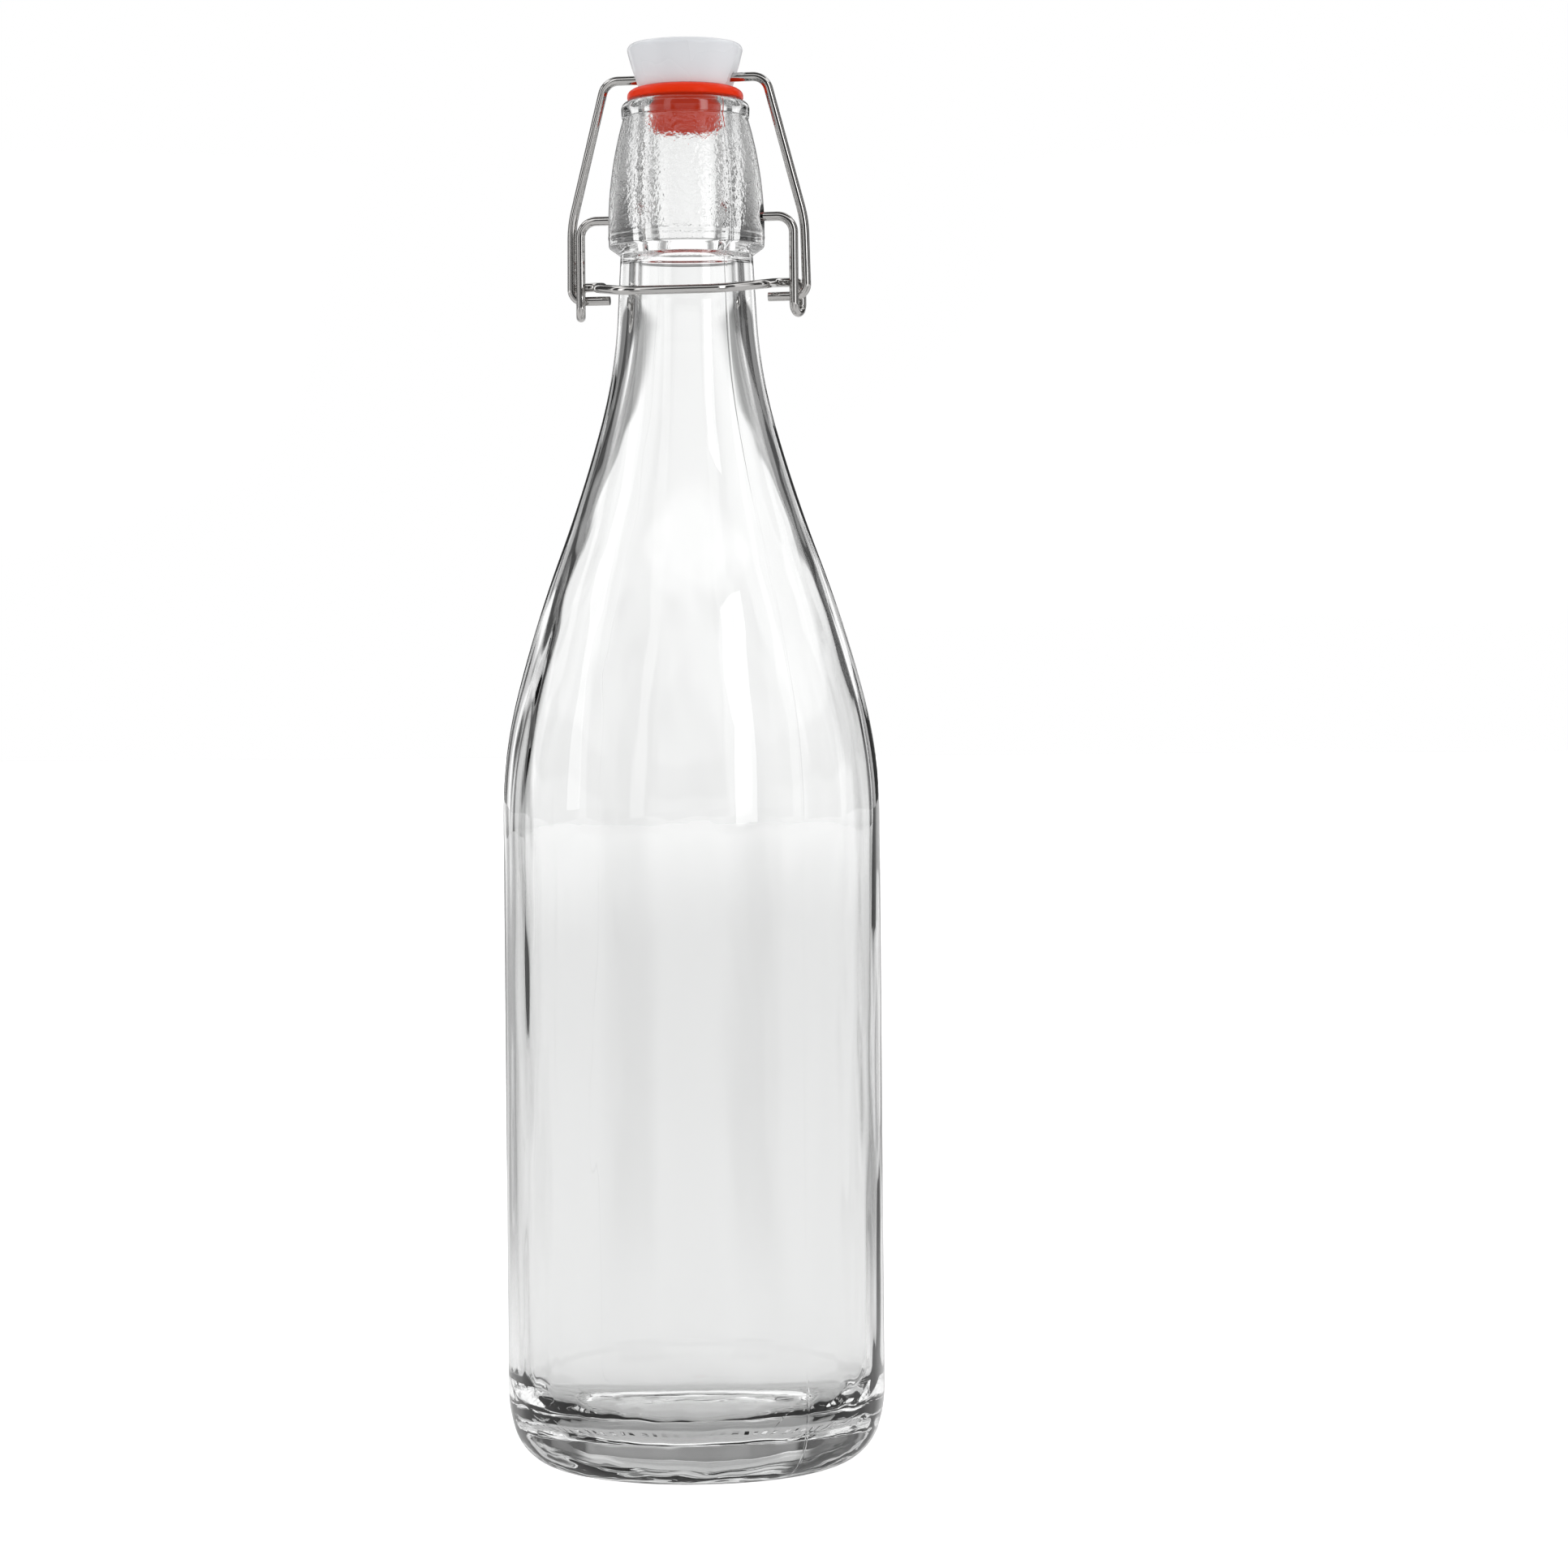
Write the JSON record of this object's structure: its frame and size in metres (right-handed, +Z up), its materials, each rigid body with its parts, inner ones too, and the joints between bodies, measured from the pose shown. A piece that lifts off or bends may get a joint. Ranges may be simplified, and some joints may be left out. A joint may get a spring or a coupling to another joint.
{
  "type": "swing top bottle",
  "caption": "Clear glass bottle with a long sloping shoulder, closed by a white stopper and orange seal that a lever wire and a bail clamp down.",
  "frame": {"origin": "middle of the base, on the plane that the bottle stands on", "axes": "+Z up along the bottle, +X along the axis that the wires turn about, -Y the front, where the lever's thumb arc lies"},
  "size_m": [0.083, 0.083, 0.3122],
  "materials": {
    "clear_glass": "smooth clear, finely stippled on the head and the bearing ring",
    "steel_wire": "polished drawn wire",
    "white_plastic": "semi-gloss",
    "orange_silicone": "smooth, slightly translucent"
  },
  "bodies": {
    "glass": {"bottle": "clear_glass"},
    "lever": {"lever_wire": "steel_wire"},
    "bail": {"bail_wire": "steel_wire"},
    "closure": {"stopper": "white_plastic", "seal": "orange_silicone"}
  },
  "joints": [
    {"name": "lever_swing", "type": "hinge", "parent": "glass", "child": "lever", "pos_m": [0, 0, 0.274], "axis": [1, 0, 0], "range_deg": [-90, 0]},
    {"name": "bail_link", "type": "hinge", "parent": "lever", "child": "bail", "pos_m": [0, 0.0021, 0.2566], "axis": [1, 0, 0], "range_deg": [0, 60]},
    {"name": "stopper_tilt", "type": "hinge", "parent": "bail", "child": "closure", "pos_m": [0, 0, 0.3047], "axis": [1, 0, 0], "range_deg": [0, 32]}
  ],
  "couplings": [
    {"joint": "bail_link", "follows": "lever_swing", "ratio": -0.655},
    {"joint": "stopper_tilt", "follows": "lever_swing", "ratio": -0.345}
  ]
}
